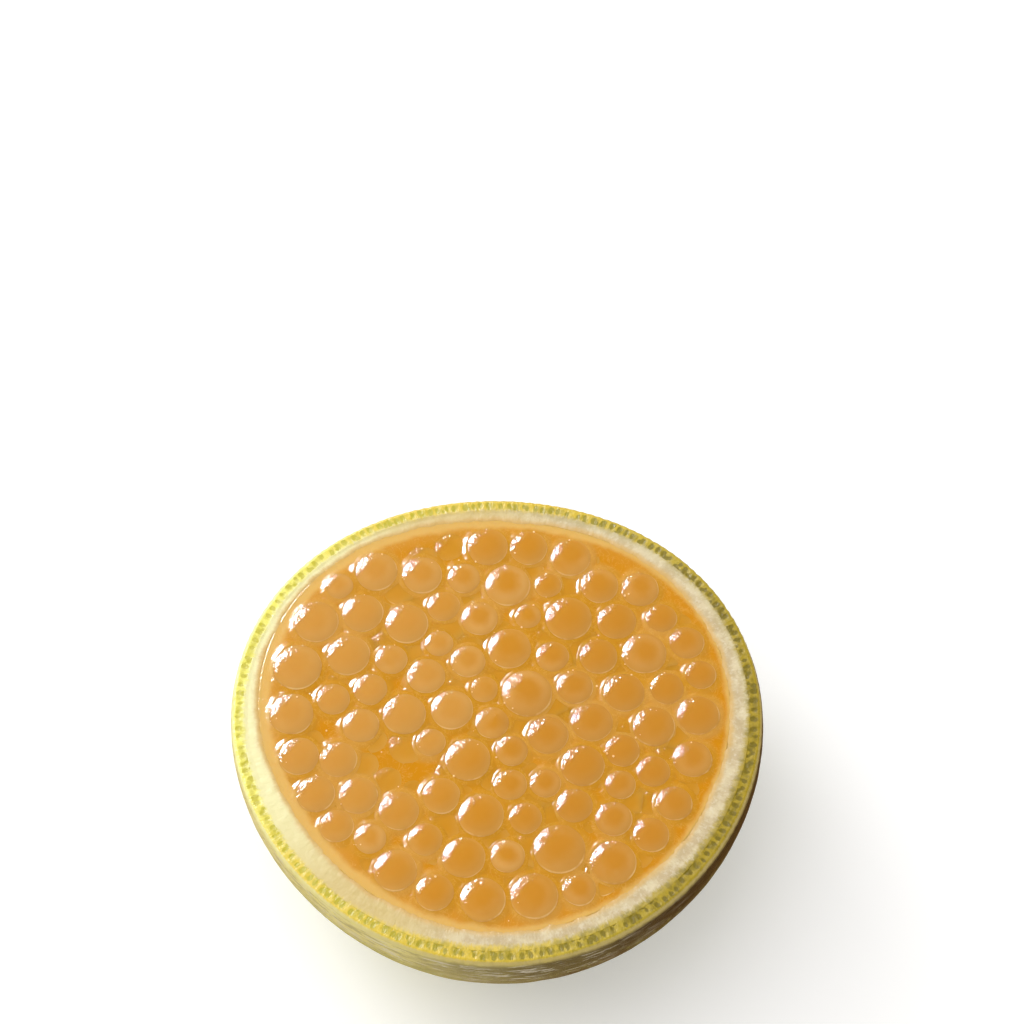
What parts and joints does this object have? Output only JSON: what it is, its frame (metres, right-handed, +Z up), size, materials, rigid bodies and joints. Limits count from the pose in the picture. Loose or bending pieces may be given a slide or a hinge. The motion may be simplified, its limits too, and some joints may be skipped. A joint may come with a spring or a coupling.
{
  "type": "finger lime half",
  "caption": "Round finger lime cut in half: thin green zest, cream pith, and orange pulp covered in raised juice pearls; stands cut face up.",
  "frame": {"origin": "under the middle of the half's box, on the surface that it stands on; the flat resting spot at the stem end surrounds it", "axes": "+Z up, out of the cut face; -Y towards the side where the pith is thickest; +X to the right when seen from there"},
  "size_m": [0.0414, 0.0394, 0.0171],
  "materials": {
    "zest": "satin",
    "pith": "matte",
    "pulp": "gloss"
  },
  "bodies": {
    "root": {"zest": "zest", "pith": "pith", "pulp": "pulp"}
  },
  "joints": []
}
